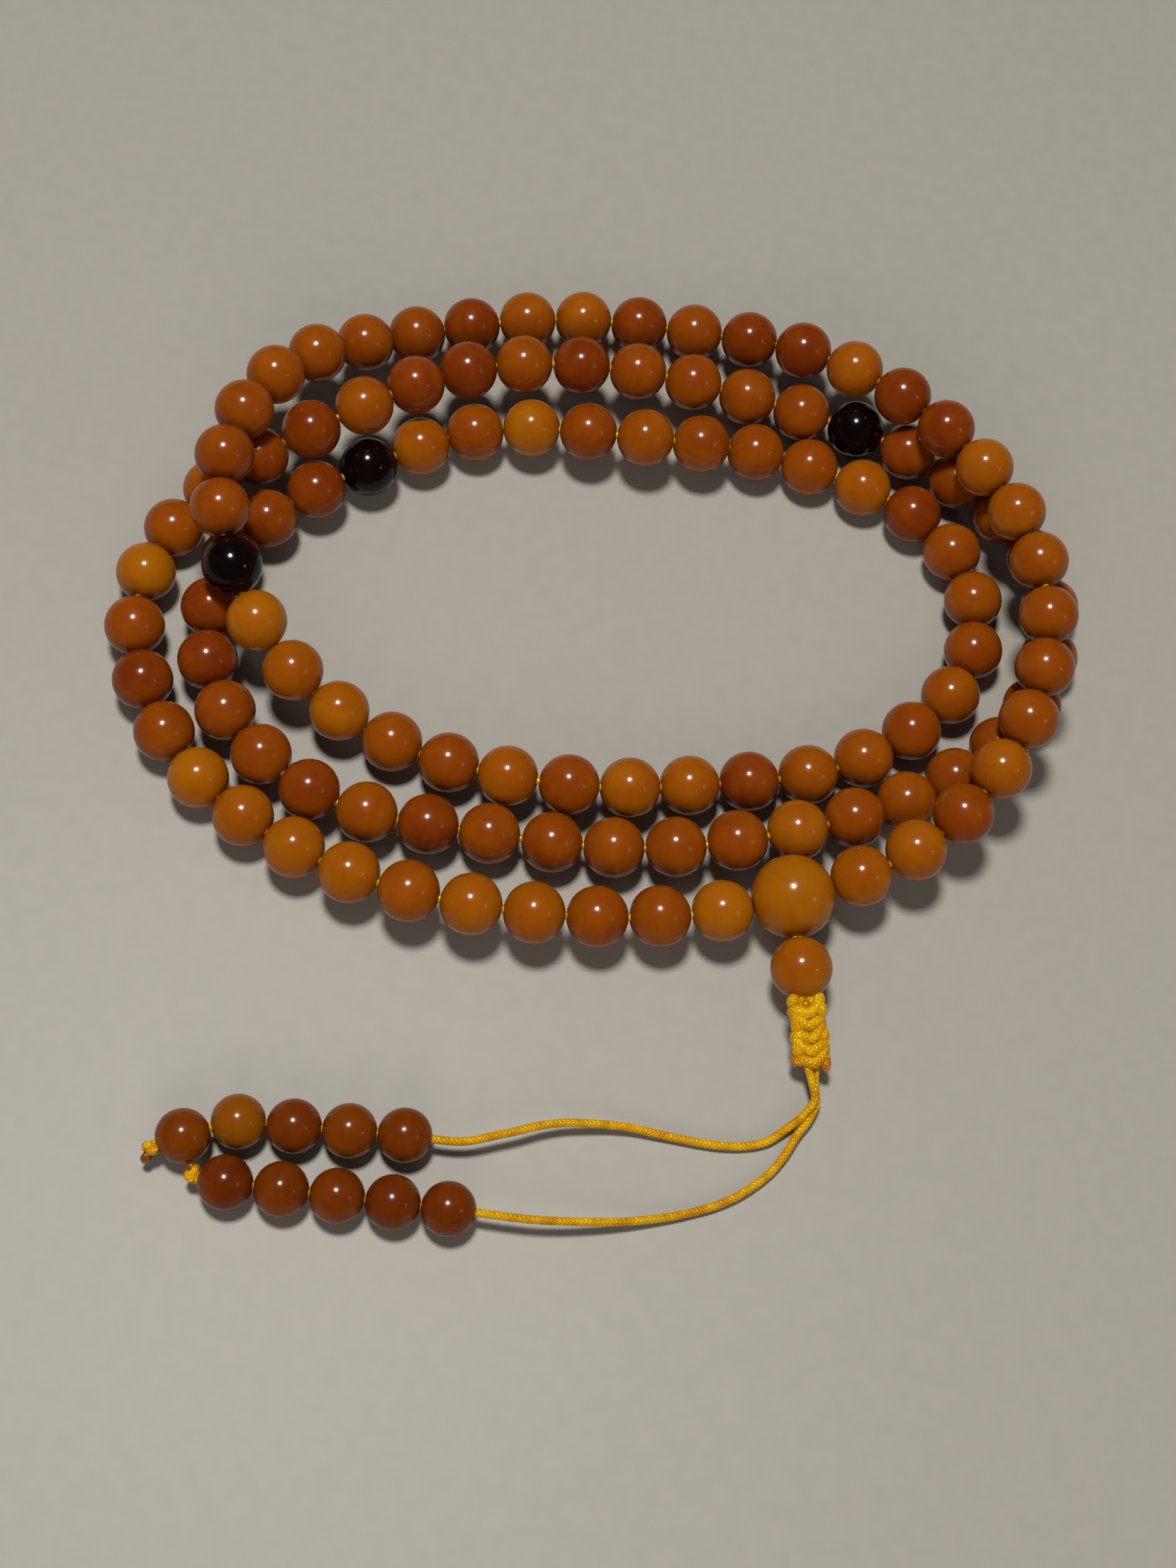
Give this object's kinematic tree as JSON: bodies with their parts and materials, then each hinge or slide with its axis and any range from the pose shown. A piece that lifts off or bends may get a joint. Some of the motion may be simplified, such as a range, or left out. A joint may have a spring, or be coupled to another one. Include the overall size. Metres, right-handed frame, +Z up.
{
  "type": "misbaha prayer beads",
  "caption": "String of round amber-coloured prayer beads on braided cord with dark dividers, a large guru bead, a flat sliding knot and two tails of small counter beads.",
  "frame": {"origin": "on the table plane, at the middle of the part's footprint", "axes": "+Z up from the table, -Y towards the front where the guru bead and pendant lie, +X to the right seen from the front"},
  "size_m": [0.1304, 0.1424, 0.0189],
  "materials": {
    "bead": "polished, slightly translucent amber imitation",
    "guru": "polished, slightly translucent, faintly banded",
    "tower": "polished, slightly translucent",
    "counter": "polished, slightly translucent, red-brown",
    "divider": "polished, near black with a dark red depth",
    "cord": "round braided synthetic cord",
    "knot": "interlaced braided cord",
    "end_knot": "tied cord with a melted tip"
  },
  "bodies": {
    "coils": {"beads_1_08_12": "bead", "beads_1_13_17": "bead", "beads_1_18_22": "bead", "beads_1_23_27": "bead", "beads_2_01_06": "bead", "beads_2_07_11": "bead", "beads_2_12_16": "bead", "beads_2_17_21": "bead", "beads_2_22_27": "bead", "beads_3_01_06": "bead", "beads_3_07_11": "bead", "beads_3_12_16": "bead", "beads_3_17_21": "bead", "beads_3_22_27": "bead", "beads_4_01_05": "bead", "beads_4_06_10": "bead", "beads_4_11_14": "bead", "strand_cord_coils": "cord"},
    "front_arc": {"beads_4_15_17": "bead", "beads_4_18_21": "bead", "beads_1_04_07": "bead", "strand_cord_front": "cord"},
    "divider_1": {"divider_1": "divider"},
    "divider_2": {"divider_2": "divider"},
    "divider_3": {"divider_3": "divider"},
    "bead_4_22": {"bead_4_22": "bead"},
    "bead_4_23": {"bead_4_23": "bead"},
    "bead_4_24": {"bead_4_24": "bead"},
    "bead_4_25": {"bead_4_25": "bead"},
    "bead_4_26": {"bead_4_26": "bead"},
    "bead_4_27": {"bead_4_27": "bead"},
    "bead_1_01": {"bead_1_01": "bead"},
    "bead_1_02": {"bead_1_02": "bead"},
    "bead_1_03": {"bead_1_03": "bead"},
    "guru": {"guru_bead": "guru", "guru_cord_a": "cord", "guru_cord_b": "cord"},
    "tower": {"tower_bead": "tower", "tower_cord_a": "cord", "tower_cord_b": "cord"},
    "pendant": {"pendant_cord_a": "cord", "pendant_cord_b": "cord"},
    "flat_knot": {"flat_knot": "knot"},
    "tail_a_upper": {"tail_a_cord_upper": "cord"},
    "tail_a_lower": {"tail_a_cord_lower": "cord", "end_knot_a": "end_knot"},
    "counter_a_1": {"counter_a_1": "counter"},
    "counter_a_2": {"counter_a_2": "counter"},
    "counter_a_3": {"counter_a_3": "counter"},
    "counter_a_4": {"counter_a_4": "counter"},
    "counter_a_5": {"counter_a_5": "counter"},
    "tail_b_upper": {"tail_b_cord_upper": "cord"},
    "tail_b_lower": {"tail_b_cord_lower": "cord", "end_knot_b": "end_knot"},
    "counter_b_1": {"counter_b_1": "counter"},
    "counter_b_2": {"counter_b_2": "counter"},
    "counter_b_3": {"counter_b_3": "counter"},
    "counter_b_4": {"counter_b_4": "counter"},
    "counter_b_5": {"counter_b_5": "counter"}
  },
  "joints": [
    {"name": "divider_1_spin", "type": "hinge", "parent": "coils", "child": "divider_1", "pos_m": [-0.04884, 0.00963, 0.01279], "axis": [0.5241, -0.8071, -0.2718], "continuous": true},
    {"name": "divider_2_spin", "type": "hinge", "parent": "coils", "child": "divider_2", "pos_m": [-0.03626, 0.03346, 0.00501], "axis": [-0.7494, -0.6619, 0.0169], "continuous": true},
    {"name": "divider_3_spin", "type": "hinge", "parent": "coils", "child": "divider_3", "pos_m": [0.02928, 0.05731, 0.00483], "axis": [-0.9946, 0.0959, 0.0398], "continuous": true},
    {"name": "front_arc_lift", "type": "hinge", "parent": "coils", "child": "front_arc", "pos_m": [-0.00168, 0.01978, 0.00881], "axis": [-0.9717, -0.228, -0.0616], "range_deg": [0, 25]},
    {"name": "bead_4_22_spin", "type": "hinge", "parent": "front_arc", "child": "bead_4_22", "pos_m": [-0.01609, -0.02747, 0.00723], "axis": [0.995, -0.0588, 0.0809], "continuous": true},
    {"name": "bead_4_23_spin", "type": "hinge", "parent": "front_arc", "child": "bead_4_23", "pos_m": [-0.00801, -0.02745, 0.00747], "axis": [0.9977, 0.0644, -0.0214], "continuous": true},
    {"name": "bead_4_24_spin", "type": "hinge", "parent": "front_arc", "child": "bead_4_24", "pos_m": [0.00003, -0.02655, 0.00713], "axis": [0.9857, 0.1564, -0.063], "continuous": true},
    {"name": "bead_4_25_spin", "type": "hinge", "parent": "front_arc", "child": "bead_4_25", "pos_m": [0.00799, -0.02502, 0.00671], "axis": [0.9747, 0.22, -0.0403], "continuous": true},
    {"name": "bead_4_26_spin", "type": "hinge", "parent": "front_arc", "child": "bead_4_26", "pos_m": [0.01583, -0.02301, 0.00654], "axis": [0.9607, 0.2777, -0.0001], "continuous": true},
    {"name": "bead_4_27_spin", "type": "hinge", "parent": "front_arc", "child": "bead_4_27", "pos_m": [0.02353, -0.02045, 0.00665], "axis": [0.9353, 0.353, 0.0253], "continuous": true},
    {"name": "bead_1_01_spin", "type": "hinge", "parent": "front_arc", "child": "bead_1_01", "pos_m": [0.04022, -0.01197, 0.00798], "axis": [0.8355, 0.5372, 0.1159], "continuous": true},
    {"name": "bead_1_02_spin", "type": "hinge", "parent": "front_arc", "child": "bead_1_02", "pos_m": [0.04656, -0.00708, 0.00898], "axis": [0.7296, 0.671, 0.1323], "continuous": true},
    {"name": "bead_1_03_spin", "type": "hinge", "parent": "front_arc", "child": "bead_1_03", "pos_m": [0.05175, -0.00104, 0.01013], "axis": [0.5521, 0.8203, 0.1491], "continuous": true},
    {"name": "guru_roll", "type": "hinge", "parent": "front_arc", "child": "guru", "pos_m": [0.03208, -0.01658, 0.00713], "axis": [-0.8881, -0.4541, -0.071], "range_deg": [0, 60]},
    {"name": "pendant_droop", "type": "hinge", "parent": "guru", "child": "tower", "pos_m": [0.03361, -0.02186, 0.00696], "axis": [-0.9603, -0.2788, 0], "range_deg": [-18, 0]},
    {"name": "pendant_swing", "type": "hinge", "parent": "tower", "child": "pendant", "pos_m": [0.03584, -0.02954, 0.00671], "axis": [0, 0, 1], "range_deg": [-4, 20]},
    {"name": "knot_slide", "type": "slide", "parent": "pendant", "child": "flat_knot", "axis": [0.3156, -0.8877, -0.3353], "range_m": [0, 0.0022]},
    {"name": "tail_a_swing", "type": "hinge", "parent": "pendant", "child": "tail_a_upper", "pos_m": [0.03922, -0.04084, 0.00252], "axis": [0, 0, 1], "range_deg": [-8, 0]},
    {"name": "tail_a_bend", "type": "hinge", "parent": "tail_a_upper", "child": "tail_a_lower", "pos_m": [0.01244, -0.05051, 0.00225], "axis": [0, 0, 1], "range_deg": [-12, 0]},
    {"name": "counter_a_1_spin", "type": "hinge", "parent": "tail_a_lower", "child": "counter_a_1", "pos_m": [-0.03565, -0.06361, 0.0034], "axis": [-0.703, -0.7112, 0], "continuous": true},
    {"name": "counter_a_2_slide", "type": "slide", "parent": "tail_a_lower", "child": "counter_a_2", "axis": [0.9898, 0.1424, 0], "range_m": [0, 0.001]},
    {"name": "counter_a_3_slide", "type": "slide", "parent": "counter_a_2", "child": "counter_a_3", "axis": [0.9898, 0.1424, 0], "range_m": [0, 0.001]},
    {"name": "counter_a_4_slide", "type": "slide", "parent": "counter_a_3", "child": "counter_a_4", "axis": [0.9898, 0.1424, 0], "range_m": [0, 0.001]},
    {"name": "counter_a_5_slide", "type": "slide", "parent": "counter_a_4", "child": "counter_a_5", "axis": [0.9898, 0.1424, 0], "range_m": [0, 0.0014]},
    {"name": "tail_b_swing", "type": "hinge", "parent": "pendant", "child": "tail_b_upper", "pos_m": [0.04035, -0.04044, 0.00252], "axis": [0, 0, 1], "range_deg": [0, 25]},
    {"name": "tail_b_bend", "type": "hinge", "parent": "tail_b_upper", "child": "tail_b_lower", "pos_m": [0.01914, -0.06161, 0.00185], "axis": [0, 0, 1], "range_deg": [0, 20]},
    {"name": "counter_b_1_spin", "type": "hinge", "parent": "tail_b_lower", "child": "counter_b_1", "pos_m": [-0.02914, -0.06806, 0.0034], "axis": [-0.9945, -0.1051, 0], "continuous": true},
    {"name": "counter_b_2_slide", "type": "slide", "parent": "tail_b_lower", "child": "counter_b_2", "axis": [0.9945, 0.1051, 0], "range_m": [0, 0.002]},
    {"name": "counter_b_3_slide", "type": "slide", "parent": "counter_b_2", "child": "counter_b_3", "axis": [0.9945, 0.1051, 0], "range_m": [0, 0.002]},
    {"name": "counter_b_4_slide", "type": "slide", "parent": "counter_b_3", "child": "counter_b_4", "axis": [0.9945, 0.1051, 0], "range_m": [0, 0.002]},
    {"name": "counter_b_5_slide", "type": "slide", "parent": "counter_b_4", "child": "counter_b_5", "axis": [0.9945, 0.1051, 0], "range_m": [0, 0.0025]}
  ],
  "couplings": [
    {"joint": "pendant_droop", "follows": "front_arc_lift", "ratio": -0.72}
  ]
}
